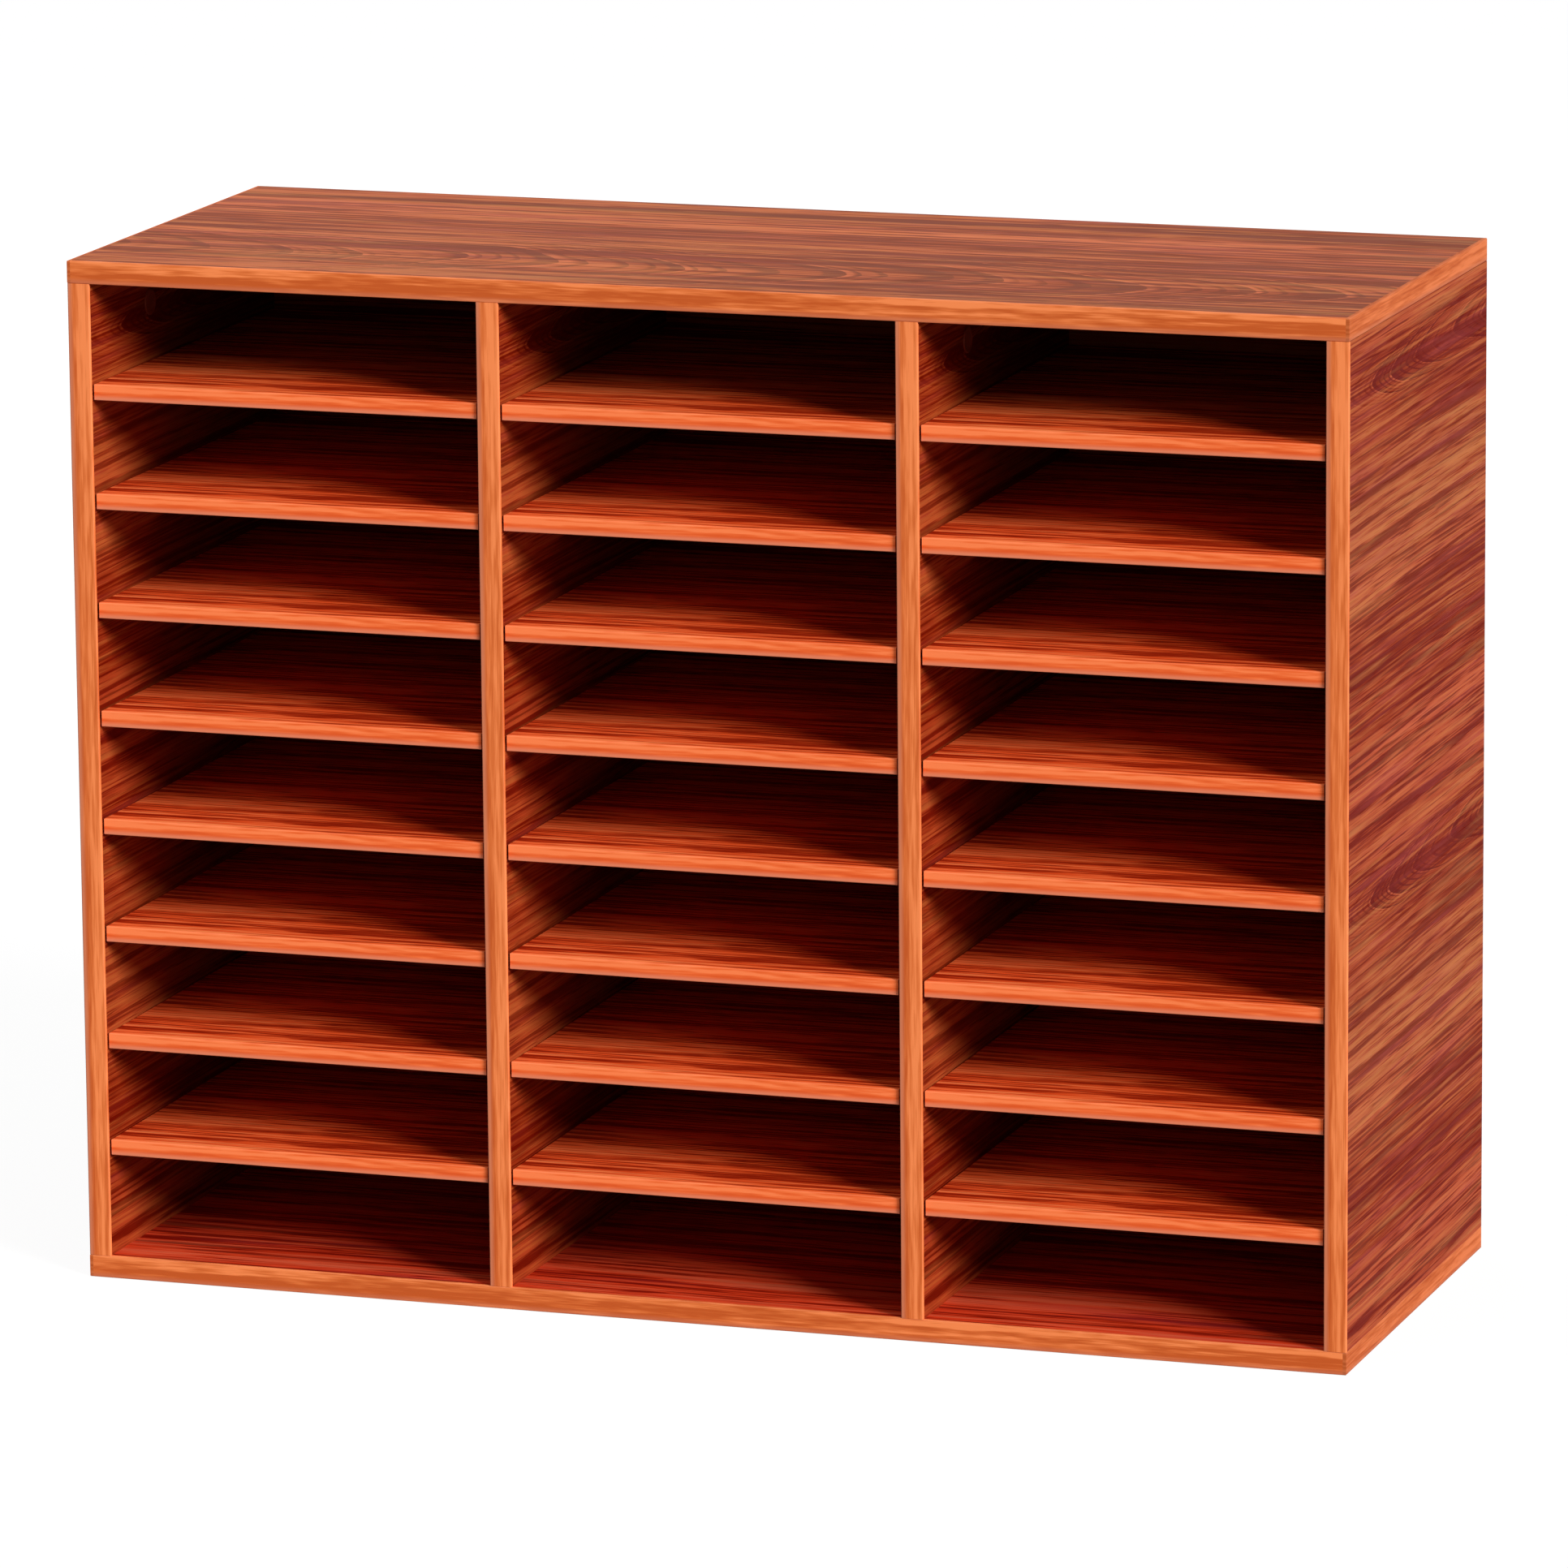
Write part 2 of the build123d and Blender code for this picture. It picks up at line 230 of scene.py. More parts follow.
class ORGANIZER_PG_colours(bpy.types.PropertyGroup):
    """Colours of the finishes."""

    print_dark: colour_property("Print, dark", "Darkest zones of the wood print", colour(107, 13, 6))
    print_maroon: colour_property("Print, maroon", "Dark zones of the wood print", colour(142, 42, 14))
    print_red: colour_property("Print, red", "Main tone of the wood print", colour(165, 62, 33))
    print_brown: colour_property("Print, brown", "Lighter zones of the wood print", colour(186, 79, 48))
    print_orange: colour_property("Print, orange", "Lightest zones of the wood print", colour(208, 100, 64))
    print_tan: colour_property("Print, tan", "Browner zones of the wood print", colour(190, 120, 71))
    print_pale: colour_property("Print, pale", "Light streaks of the wood print", colour(212, 120, 66))
    print_line: colour_property("Print, line", "Dark streaks of the wood print", colour(112, 14, 4))
    print_rose: colour_property("Print, rose", "Pinker blotches of the wood print", colour(180, 74, 74))
    # Painted sheen: a pale reflection painted on the upper face of the top.
    top_sheen_veil: colour_property("Top veil", "Pale dulling of the upper face of the top", colour(207, 163, 119))
    # Painted shade: darkens the print on the outer sides of the side panels.
    side_painted_shade: colour_property("Wall tint", "Deepens the outer print of the walls", (0.79, 0.83, 0.84))
    # Painted shade: these darken and redden the print inside the pockets, on the bottom panel and on the
    # front of the back.
    pocket_painted_shade: colour_property("Pocket tint", "Deepens the print inside the pockets", (0.70, 0.54, 0.39))
    bottom_painted_shade: colour_property("Bottom tint", "Deepens the print on the bottom", (0.78, 0.47, 0.62))
    back_painted_shade: colour_property("Back tint", "Deepens the print on the back", (0.48, 0.48, 0.48))
    # Shelf palette: lighter and redder than the print, as painted light for the pocket floors.
    shelf_dark: colour_property("Shelf, dark", "Dark zones of the shelf boards", colour(150, 35, 12))
    shelf_red: colour_property("Shelf, red", "Main tone of the shelf boards", colour(241, 89, 37))
    shelf_orange: colour_property("Shelf, orange", "Light zones of the shelf boards", colour(255, 128, 66))
    shelf_pale: colour_property("Shelf, pale", "Light streaks of the shelf boards", colour(255, 160, 98))
    shelf_line: colour_property("Shelf, line", "Dark streaks of the shelf boards", colour(130, 11, 2))
    band_dark: colour_property("Band, dark", "Dark streaks of the edge bands", colour(200, 92, 42))
    band_orange: colour_property("Band, orange", "Main tone of the edge bands", colour(222, 114, 58))
    band_pale: colour_property("Band, pale", "Light streaks of the edge bands", colour(248, 140, 82))
    # Painted shade: darkens the bands on the ends of the top and the bottom, which face the sides.
    end_painted_shade: colour_property("End tint", "Deepens the bands on the ends", (0.70, 0.66, 0.69))
    # Painted sheen: pale reflections painted on the left or lower edges and on the rounded corners of the
    # bands.
    band_sheen: colour_property("Band, worn", "Rubbed corners of the edge bands", colour(206, 124, 92))
    shelf_band_sheen: colour_property("Shelf band, worn", "Rubbed edges of shelf bands", colour(228, 134, 100))
    shelf_band_dark: colour_property("Shelf band, dark", "Dark streaks of shelf bands", colour(228, 92, 42))
    shelf_band: colour_property("Shelf band", "Main tone of the shelf bands", colour(242, 108, 54))
    shelf_band_pale: colour_property("Shelf band, pale", "Light streaks of shelf bands", colour(255, 132, 78))
    chip_light: colour_property("Chipboard, light", "Wood chips in a raw board edge", colour(204, 168, 120))
    chip_pale: colour_property("Chipboard, pale", "Palest chips in a raw board edge", colour(226, 196, 150))
    chip_dark: colour_property("Chipboard, dark", "Glue and bark in a raw board edge", colour(122, 84, 54))
    fibre_light: colour_property("Hardboard, light", "Fibres on the rear of the back", colour(146, 104, 70))
    fibre_dark: colour_property("Hardboard, dark", "Pressed screen marks in the back", colour(98, 64, 42))
    nickel: colour_property("Nickel", "Plating of the shelf pins and cam bolts", colour(206, 203, 196))
    zinc: colour_property("Zinc", "Cams and base screws", colour(186, 188, 190))
    cap: colour_property("Cover cap", "Plastic of the cover caps", colour(134, 58, 38))
    beech: colour_property("Beech", "Bare wood of the dowels", colour(212, 176, 128))


class ORGANIZER_PG_stage(bpy.types.PropertyGroup):
    """The floor, the lamps and the camera."""

    camera_place: FloatVectorProperty(
        name="Camera place", description="Where the camera stands", default=(1.812, -5.3515, 1.478),
        subtype="TRANSLATION", unit="LENGTH", size=3,
    )
    camera_turn: FloatProperty(
        name="Camera turn", description="Turn of the camera about the vertical",
        default=math.radians(18.7045), subtype="ANGLE",
    )
    camera_dip: FloatProperty(
        name="Camera dip", description="How far the camera looks down",
        default=math.radians(11.9472), subtype="ANGLE",
    )
    camera_roll: FloatProperty(
        name="Camera roll", description="Turn of the camera about its own axis",
        default=math.radians(-0.50), subtype="ANGLE",
    )
    lens: FloatProperty(name="Lens", description="Focal length in millimetres", default=231.6, unit="CAMERA")
    key_direction: FloatVectorProperty(
        name="Key direction", description="The way that the key light travels", default=(-1.75, 1.0, -0.92),
        subtype="DIRECTION", size=3,
    )
    key_level: FloatProperty(name="Key level", description="Strength of the key light", default=1.24)
    key_spread: FloatProperty(
        name="Key spread", description="How wide the key light looks, which softens its shadows",
        default=math.radians(20), subtype="ANGLE",
    )
    sky_level: FloatProperty(
        name="Sky level", description="Strength of the light from all round", default=0.14
    )
    fill_power: FloatProperty(
        name="Fill power", description="Power of the soft fill light", default=49.0, unit="POWER"
    )
    fill_place: FloatVectorProperty(
        name="Fill place", description="Where the soft fill light hangs", default=(-0.6, -1.2, 4.4),
        subtype="TRANSLATION", unit="LENGTH", size=3,
    )
    back_power: FloatProperty(
        name="Back power", description="Power of the soft light behind the cabinet",
        default=60.0, unit="POWER",
    )
    back_place: FloatVectorProperty(
        name="Back place", description="Where the soft light behind the cabinet hangs",
        default=(-2.6, 3.2, 1.6), subtype="TRANSLATION", unit="LENGTH", size=3,
    )
    softbox_size: length_property("Softbox size", "Side of a square soft light", 2.5)
    floor_size: length_property("Floor size", "Side of the square floor", 60.0)
    floor_gap: length_property("Floor gap", "How far the floor lies under the bottom panel", 0.3 * MM)
    floor_glow: FloatProperty(
        name="Floor white", description="Share of the floor's white that no shadow darkens", default=0.92
    )


class Graph:
    """The nodes of one material or node group, added and joined in short calls."""

    def __init__(self, tree):
        self.tree = tree

    def feed(self, socket, value):
        if isinstance(value, bpy.types.NodeSocket):
            self.tree.links.new(value, socket)
        else:
            socket.default_value = value

    def node(self, kind, feeds=None, **settings):
        made = self.tree.nodes.new(kind)
        for name, value in settings.items():
            setattr(made, name, value)
        for socket, value in (feeds or {}).items():
            self.feed(made.inputs[socket], value)
        return made

    def math(self, operation, *terms):
        return self.node("ShaderNodeMath", dict(enumerate(terms)), operation=operation).outputs[0]

    def vector(self, x, y, z):
        return self.node("ShaderNodeCombineXYZ", {0: x, 1: y, 2: z}).outputs[0]

    def stretched(self, vector, scale):
        return self.node("ShaderNodeVectorMath", {0: vector, 1: scale}, operation="MULTIPLY").outputs[0]

    def noise(self, vector, scale, detail=2.0, roughness=0.5):
        """Noise around 0, with its number of waves per metre along each axis."""
        feeds = {"Vector": self.stretched(vector, scale), "Scale": 1.0}
        feeds |= {"Detail": detail, "Roughness": roughness}
        return self.math("SUBTRACT", self.node("ShaderNodeTexNoise", feeds).outputs["Fac"], 0.5)

    def cells(self, vector, scale):
        feeds = {"Vector": self.stretched(vector, scale), "Scale": 1.0}
        return self.node("ShaderNodeTexVoronoi", feeds).outputs

    def step(self, value, start, end, low=0.0, high=1.0):
        """A soft step from low, where the value is start, to high, where it is end."""
        feeds = {"Value": value, "From Min": start, "From Max": end, "To Min": low, "To Max": high}
        return self.node("ShaderNodeMapRange", feeds, interpolation_type="SMOOTHSTEP").outputs[0]

    def ramp(self, value, stops):
        """Colours or grey levels by place from 0 to 1."""
        made = self.node("ShaderNodeValToRGB", {"Fac": value})
        elements = made.color_ramp.elements
        while len(elements) < len(stops):
            elements.new(1.0)
        for element, (place, level) in zip(elements, stops):
            element.position = place
            element.color = (*level, 1.0) if hasattr(level, "__len__") else (level, level, level, 1.0)
        return made.outputs["Color"]

    def mix(self, share, first, second, blend="MIX"):
        made = self.node("ShaderNodeMix", data_type="RGBA", blend_type=blend)
        for socket, value in zip((made.inputs[0], made.inputs[6], made.inputs[7]), (share, first, second)):
            plain_colour = hasattr(value, "__len__") and len(value) == 3
            self.feed(socket, (*value, 1.0) if plain_colour else value)
        return made.outputs[2]

    def total(self, first, *terms):
        """The first value plus each (value, weight)."""
        for value, weight in terms:
            first = self.math("MULTIPLY_ADD", value, weight, first)
        return first

    def bump(self, height, distance, strength):
        feeds = {"Height": height, "Distance": distance, "Strength": strength}
        return self.node("ShaderNodeBump", feeds).outputs[0]


class Finish(Graph):
    """One material, with the object's own coordinates at hand."""

    def __init__(self, name, **constants):
        self.material = bpy.data.materials.new(name)
        self.material.use_nodes = True
        super().__init__(self.material.node_tree)
        self.shader = self.tree.nodes["Principled BSDF"]
        for socket, value in constants.items():
            self.shader.inputs[socket.replace("_", " ")].default_value = value
        coordinates = self.node("ShaderNodeTexCoord")
        self.place = coordinates.outputs["Object"]
        self.x, self.y, self.z = self.node("ShaderNodeSeparateXYZ", {0: self.place}).outputs
        self.normal_x, self.normal_y, self.normal_z = [
            self.math("ABSOLUTE", part)
            for part in self.node("ShaderNodeSeparateXYZ", {0: coordinates.outputs["Normal"]}).outputs
        ]

    def shade(self, base, roughness, normal):
        self.feed(self.shader.inputs["Base Color"], base)
        self.feed(self.shader.inputs["Roughness"], roughness)
        self.feed(self.shader.inputs["Normal"], normal)
        return self.material

    def shade_band(self, base, fine):
        """Shades an edge band, with its fine streaks in the gloss and in the bump."""
        self.shade(base, self.total(BAND_ROUGHNESS, (fine, 0.3)), self.bump(fine, BAND_RELIEF, 0.25))

    def print_relief(self, fine, pores, strength):
        """The fine ridges and the pores of the wood print, as a bump."""
        height = self.total(self.math("MULTIPLY", fine, 0.6), (pores, -1.0))
        return self.bump(height, PRINT_RELIEF, strength)

    def print_on(self, along, across, sheet, arches=STRAIGHT_GRAIN):
        """The wood print along and across a board: its tone, browner zones, grain, pores and fine streaks.

        The arches on the heart line point along the board. They have a half width, a length, a spacing and a
        bluntness.
        """
        feeds = dict(zip(PRINT_INPUTS, (along, across, sheet, *arches)))
        made = self.node("ShaderNodeGroup", node_tree=wood_print())
        for socket, value in feeds.items():
            self.feed(made.inputs[socket], value)
        return [made.outputs[name] for name in PRINT_OUTPUTS]

    def grained(self, base, grain, pale, dark):
        """Draws the light and dark streaks of the grain over a colour."""
        base = self.mix(self.step(grain, 0.0, 0.5, 0.0, 0.5), base, pale)
        return self.mix(self.step(grain, 0.0, -0.36, 0.0, 0.85), base, dark)

    def inside(self):
        """0 on the outer sides and on the upper face of the cabinet, and 1 on all other faces."""
        inner = self.math("LESS_THAN", self.math("ABSOLUTE", self.x), HIGH.x - MM)
        return self.math("MULTIPLY", inner, self.math("LESS_THAN", self.z, HIGH.z - MM))

    def column_x(self):
        """The place along X from the middle of the column, so that all columns carry the same print."""
        return self.math("WRAP", self.x, COLUMN_PITCH / 2, -COLUMN_PITCH / 2)

    def chipboard(self):
        """The raw core of a board: light chips in dark glue."""
        colours = bpy.context.scene.organizer_colours
        chips = self.cells(self.place, GRIT["chips"])
        speck = self.noise(self.place, GRIT["speck"], detail=3)
        level = self.total(chips["Color"], (speck, 1.4))
        stops = ((0.05, colours.chip_dark), (0.45, colours.chip_light), (1.0, colours.chip_pale))
        return self.ramp(level, stops)

    def edge_band(self, along, across, sheet, tones, turn, contrast=1.0, sheen_share=0.9):
        """The printed strip of an edge band, with streaks along it in its dark, main and pale tones, and a
        painted sheen.

        Across counts from its left or lower edge. Between the two distances of the turn, the strip goes from
        painted shade near that edge to painted light. Near that edge and on its rounded corners it gets a
        painted sheen, a pale reflection.
        """
        dark, main, pale, sheen = tones
        spot = self.vector(along, across, sheet)
        streak = self.noise(spot, WAVES["band_streak"], detail=2)
        dash = self.noise(spot, WAVES["band_dash"], detail=2)
        fine = self.noise(spot, WAVES["band_fine"], detail=2)
        # Painted shade on the left or lower part of the band, painted light on the rest.
        light = self.step(across, *turn, 0.3, 0.72)
        tone = self.total(light, (streak, 2.0 * contrast), (dash, 1.8 * contrast), (fine, 0.8))
        base = self.ramp(tone, ((0.1, dark), (0.5, main), (0.9, pale)))
        # Painted sheen: a pale reflection painted near the left or lower edge and on the rounded corners.
        flat = self.math("MAXIMUM", self.math("MAXIMUM", self.normal_x, self.normal_y), self.normal_z)
        sheen_mask = self.step(across, *BAND_SHEEN, 0.0, sheen_share)
        sheen_mask = self.math("MAXIMUM", sheen_mask, self.step(flat, 0.995, 0.93, 0.0, 0.35))
        return self.mix(sheen_mask, base, sheen), fine


def wood_print():
    """The node group of the wood print: arches on a heart line, colour zones beside it, streaks and pores."""
    found = bpy.data.node_groups.get("wood_print")
    if found:
        return found
    sizes = bpy.context.scene.organizer_sizes
    tree = bpy.data.node_groups.new("wood_print", "ShaderNodeTree")
    for name in PRINT_INPUTS:
        tree.interface.new_socket(name, in_out="INPUT", socket_type="NodeSocketFloat")
    for name in PRINT_OUTPUTS:
        tree.interface.new_socket(name, in_out="OUTPUT", socket_type="NodeSocketFloat")
    graph = Graph(tree)
    inputs = graph.node("NodeGroupInput").outputs
    along, across, sheet, arch_width, arch_length, arch_spacing, bluntness = inputs[: len(PRINT_INPUTS)]

    drift = graph.noise(graph.vector(along, across, sheet), WAVES["drift"], detail=1)
    across = graph.total(across, (drift, 2 * sizes.grain_drift))
    half = sizes.print_repeat / 2
    from_heart = graph.math("WRAP", across, half, -half)
    spot = graph.vector(along, from_heart, sheet)

    wander = graph.noise(graph.vector(along, 0.0, sheet), WAVES["wander"], detail=1)
    ripple = graph.noise(spot, WAVES["ripple"], detail=3)
    aside = graph.total(graph.math("DIVIDE", from_heart, arch_width), (wander, 0.4))
    aside = graph.math("MAXIMUM", graph.total(graph.math("ABSOLUTE", aside), (ripple, 0.14)), 0.0)
    spread = graph.math("MINIMUM", graph.math("POWER", aside, bluntness), 0.95)
    sweep = graph.math("DIVIDE", spread, graph.math("SUBTRACT", 1.0, spread))
    tip = graph.math("MULTIPLY_ADD", sweep, arch_length, along)
    tip_spot = graph.vector(tip, 0.0, sheet)
    swell = graph.noise(tip_spot, WAVES["swell"], detail=1)
    jitter = graph.noise(tip_spot, WAVES["jitter"], detail=0)
    rings = graph.total(graph.math("DIVIDE", tip, arch_spacing), (swell, 3.0), (jitter, 0.9))
    ring_place = graph.math("FRACT", rings)
    between = graph.math("FRACT", graph.math("MULTIPLY_ADD", rings, 4.0, 0.4))
    late_wood = graph.total(
        graph.step(ring_place, 0.3, 1.0, 0.0, 0.25),
        (graph.step(ring_place, 0.79, 0.93), 0.75),
        (graph.step(between, 0.55, 0.9), 0.5),
        (graph.step(ring_place, 0.16, 0.02), -0.4),
    )
    near_heart = graph.step(aside, 0.97, 0.75)
    uneven = graph.step(graph.noise(spot, WAVES["uneven"]), -0.2, 0.15, 0.5, 1.0)
    strong = graph.step(graph.noise(tip_spot, WAVES["strong"], detail=0), -0.15, 0.15, 0.3, 1.1)
    for strength in (near_heart, uneven, strong):
        late_wood = graph.math("MULTIPLY", late_wood, strength)

    share = graph.math("MULTIPLY_ADD", from_heart, 1 / sizes.print_repeat, 0.5)
    zones = graph.ramp(
        share,
        (
            (0.00, 0.42), (0.08, 0.72), (0.20, 0.63), (0.36, 0.44), (0.50, 0.52), (0.60, 0.56), (0.79, 0.68),
            (0.84, 0.20), (0.87, 0.52), (1.00, 0.42),
        ),
    )
    brown = graph.ramp(share, ((0.00, 0.2), (0.18, 1.0), (0.30, 0.9), (0.42, 0.1), (0.80, 0.0), (1.00, 0.2)))
    broad = graph.noise(spot, WAVES["broad"], detail=2)
    strand = graph.noise(spot, WAVES["strand"], detail=2)
    streak = graph.noise(spot, WAVES["streak"], detail=3, roughness=0.7)
    dash = graph.noise(spot, WAVES["dash"], detail=2)
    fine = graph.noise(spot, WAVES["fine"], detail=3, roughness=0.6)
    crossing = graph.math("ABSOLUTE", graph.noise(spot, WAVES["crossing"], detail=2))
    in_dark_zone = graph.step(broad, -0.15, 0.15, 1.0, 0.2)
    dark_line = graph.math("MULTIPLY", graph.step(crossing, 0.022, 0.0), in_dark_zone)
    tone = graph.total(zones, (broad, 0.5), (strand, 0.75), (late_wood, -1.0))
    grain = graph.total(-0.02, (streak, 2.1), (strand, 1.3), (dash, 0.9), (fine, 0.8), (dark_line, -0.55))
    pores = graph.step(graph.noise(spot, WAVES["pore"], detail=1), 0.07, 0.18)

    results = graph.node("NodeGroupOutput", dict(enumerate((tone, brown, grain, pores, fine))))
    results.is_active_output = True
    return tree


def print_colours(finish, tone, grain):
    """The red-brown colours of the wood print."""
    colours = bpy.context.scene.organizer_colours
    base = finish.ramp(
        tone,
        (
            (0.00, colours.print_dark), (0.25, colours.print_maroon), (0.50, colours.print_red),
            (0.75, colours.print_brown), (1.00, colours.print_orange),
        ),
    )
    return finish.grained(base, grain, colours.print_pale, colours.print_line)


def shelf_colours(finish, tone, grain):
    """The redder and lighter colours of the pocket floors, also used on the bottom and the back: painted
    light, standing in for the red light that bounces in the pockets.
    """
    colours = bpy.context.scene.organizer_colours
    stops = ((0.0, colours.shelf_dark), (0.5, colours.shelf_red), (1.0, colours.shelf_orange))
    base = finish.ramp(tone, stops)
    return finish.grained(base, grain, colours.shelf_pale, colours.shelf_line)


def laminate_finish(
    name, along_axis, heart, sheet, arches, print_tones, painted_shades, sheen_veil=0.0, narrowing=1.0, contrast=1.2
):
    """Satin wood-print laminate on a board, with its raw core where an edge is not banded.

    The arches point to the right or to the front. The painted shades darken the outside and the faces in the
    pockets: painted shade. The sheen veil lays a painted sheen, a pale reflection, over the outside. A
    narrowing under 1 widens the streaks.
    """
    colours = bpy.context.scene.organizer_colours
    finish = Finish(name, Specular_IOR_Level=LAMINATE_SPECULAR)
    to_front = finish.math("SUBTRACT", bpy.context.scene.organizer_sizes.wall_shift, finish.y)
    along, over = (to_front, finish.z) if along_axis == "Y" else (finish.x, finish.y)
    across = finish.math("MULTIPLY", finish.math("SUBTRACT", over, heart), narrowing)
    tone, brown, grain, pores, fine = finish.print_on(along, across, sheet, arches)
    tone = finish.total(0.5 - 0.5 * contrast, (tone, contrast))
    grain = finish.math("MULTIPLY", grain, contrast)
    base = print_tones(finish, tone, grain)
    browner = finish.math("MULTIPLY", brown, finish.step(grain, -0.2, 0.3, 0.1, 0.4))
    base = finish.mix(browner, base, colours.print_tan)
    blotch = finish.noise(finish.vector(along, across, sheet), WAVES["blotch"], detail=2)
    base = finish.mix(finish.step(blotch, 0.02, 0.3, 0.0, 0.45), base, colours.print_tan)
    base = finish.mix(finish.step(blotch, -0.02, -0.3, 0.0, 0.35), base, colours.print_rose)
    base = finish.mix(finish.math("MULTIPLY", pores, 0.35), base, colours.print_dark)
    # Painted shade on the outside and on the faces in the pockets.
    outside, pocket = [finish.mix(1.0, base, tint, "MULTIPLY") for tint in painted_shades]
    # Painted sheen: a pale reflection painted over the outside faces.
    outside = finish.mix(sheen_veil, outside, colours.top_sheen_veil)
    base = finish.mix(finish.inside(), outside, pocket)
    raw = finish.step(finish.normal_y, 0.5, 0.6)
    base = finish.mix(raw, base, finish.chipboard())
    roughness = finish.math("MULTIPLY_ADD", raw, 0.4, LAMINATE_ROUGHNESS)
    roughness = finish.total(roughness, (fine, 0.35), (pores, 0.12))
    return finish.shade(base, roughness, finish.print_relief(fine, pores, 0.35))


def put_finish(material, *nodes):
    for name in nodes:
        slots = NODES[name].material_slots
        if not slots:
            raise RuntimeError(f"{name} has no material slot")
        for slot in slots:
            slot.material = material


def plain_start():
    """Leaves nothing selected, so that the next operator acts on its own piece only."""
    bpy.ops.object.select_all(action="DESELECT")


def select_faces(piece, wanted):
    """Selects the faces for which wanted(centre, normal) holds, in edit mode."""
    bpy.ops.mesh.select_all(action="DESELECT")
    bpy.ops.object.mode_set(mode="OBJECT")
    for face in piece.data.polygons:
        face.select = wanted(face.center, face.normal)
    bpy.ops.object.mode_set(mode="EDIT")


def cut_across_x(places):
    """Cuts the piece that is being edited across X at these places."""
    for place in places:
        bpy.ops.mesh.select_all(action="SELECT")
        bpy.ops.mesh.bisect(plane_co=(place, 0, 0), plane_no=(1, 0, 0))


def copies(pattern, name, places):
    """One piece made of copies of a pattern, each placed by its matrix. The pattern is removed."""
    made = []
    for place in places:
        copy = pattern.copy()
        copy.data = pattern.data.copy()
        copy.data.transform(place)
        bpy.context.scene.collection.objects.link(copy)
        made.append(copy)
    bpy.data.objects.remove(pattern)
    plain_start()
    for copy in made:
        copy.select_set(True)
    bpy.context.view_layer.objects.active = made[0]
    bpy.ops.object.join()
    made[0].name = name
    made[0].data.name = name
    return made[0]


def fit(piece, material, slot, *replaced):
    """Finishes a fitting and lets it stand for its nodes on the cabinet."""
    piece.data.materials.clear()
    piece.data.materials.append(material)
    plain_start()
    piece.select_set(True)
    bpy.context.view_layer.objects.active = piece
    bpy.ops.object.shade_smooth_by_angle(angle=SMOOTH_ANGLE)
    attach(piece, CABINET)
    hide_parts(*replaced)


def metal_finish(name, tint, roughness):
    """Plated or cast metal: fine scratches, cloudy roughness and a little dulling."""
    finish = Finish(name, Metallic=1.0)
    cloud = finish.noise(finish.place, GRIT["metal_cloud"], detail=4)
    scratch = finish.noise(finish.place, GRIT["scratch"], detail=2)
    base = finish.mix(finish.step(cloud, -0.1, 0.25), tint, darker(tint, 0.72))
    rough = finish.total(roughness, (cloud, 0.35), (scratch, 0.25))
    return finish.shade(base, rough, finish.bump(scratch, 0.02 * MM, 0.25))


def column_faces(wall):
    """The faces of an upright board that look into a column, as (x, direction)."""
    low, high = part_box(wall)
    faces = []
    if wall != WALLS[0]:
        faces.append((low.x, -1))
    if wall != WALLS[-1]:
        faces.append((high.x, 1))
    return faces


def facing(x, direction, y, z):
    """Places a fitting that points along X on a face that looks in that direction."""
    turn = Matrix.Identity(4) if direction > 0 else Matrix.Rotation(math.pi, 4, "Z")
    return Matrix.Translation((x, y, z)) @ turn


class OrganizerOperator:
    """What the operators share."""

    bl_options = {"REGISTER", "UNDO"}

    @property
    def sizes(self):
        return bpy.context.scene.organizer_sizes

    @property
    def colours(self):
        return bpy.context.scene.organizer_colours

    @property
    def stage(self):
        return bpy.context.scene.organizer_stage


class ORGANIZER_OT_level_boards(OrganizerOperator, bpy.types.Operator):
    """Gives the top and the bottom their wood-print laminate, with the grain from side to side."""

    bl_idname = "organizer.level_boards"
    bl_label = "Finish Top and Bottom"

    def execute(self, context):
        heart = LOW.y + self.sizes.top_heart
        # Painted shade on the faces inside the pockets.
        painted_shades = (PLAIN, self.colours.pocket_painted_shade)
        top = laminate_finish(
            "wood_print_top", "X", heart, SHEETS["top"], TOP_ARCHES, print_colours, painted_shades,
            sheen_veil=TOP_SHEEN_SHARE, narrowing=LEVEL_NARROWING, contrast=TOP_CONTRAST,
        )
        put_finish(top, "top_panel")
        heart = LOW.y + self.sizes.top_heart / 2
        # Painted shade on the bottom panel inside the pockets.
        painted_shades = (PLAIN, self.colours.bottom_painted_shade)
        bottom = laminate_finish(
            "wood_print_bottom", "X", heart, SHEETS["bottom"], STRAIGHT_GRAIN, shelf_colours, painted_shades,
            narrowing=LEVEL_NARROWING,
        )
        put_finish(bottom, "bottom_panel")
        return {"FINISHED"}


class ORGANIZER_OT_upright_boards(OrganizerOperator, bpy.types.Operator):
    """Gives the sides and dividers their wood-print laminate, with the grain from front to back."""

    bl_idname = "organizer.upright_boards"
    bl_label = "Finish Sides and Dividers"

    def execute(self, context):
        # Painted shade on the outer sides and inside the pockets.
        painted_shades = (self.colours.side_painted_shade, self.colours.pocket_painted_shade)
        wall = laminate_finish(
            "wood_print_wall", "Y", self.sizes.wall_heart, SHEETS["wall"], WALL_ARCHES, print_colours, painted_shades
        )
        put_finish(wall, *WALLS)
        return {"FINISHED"}


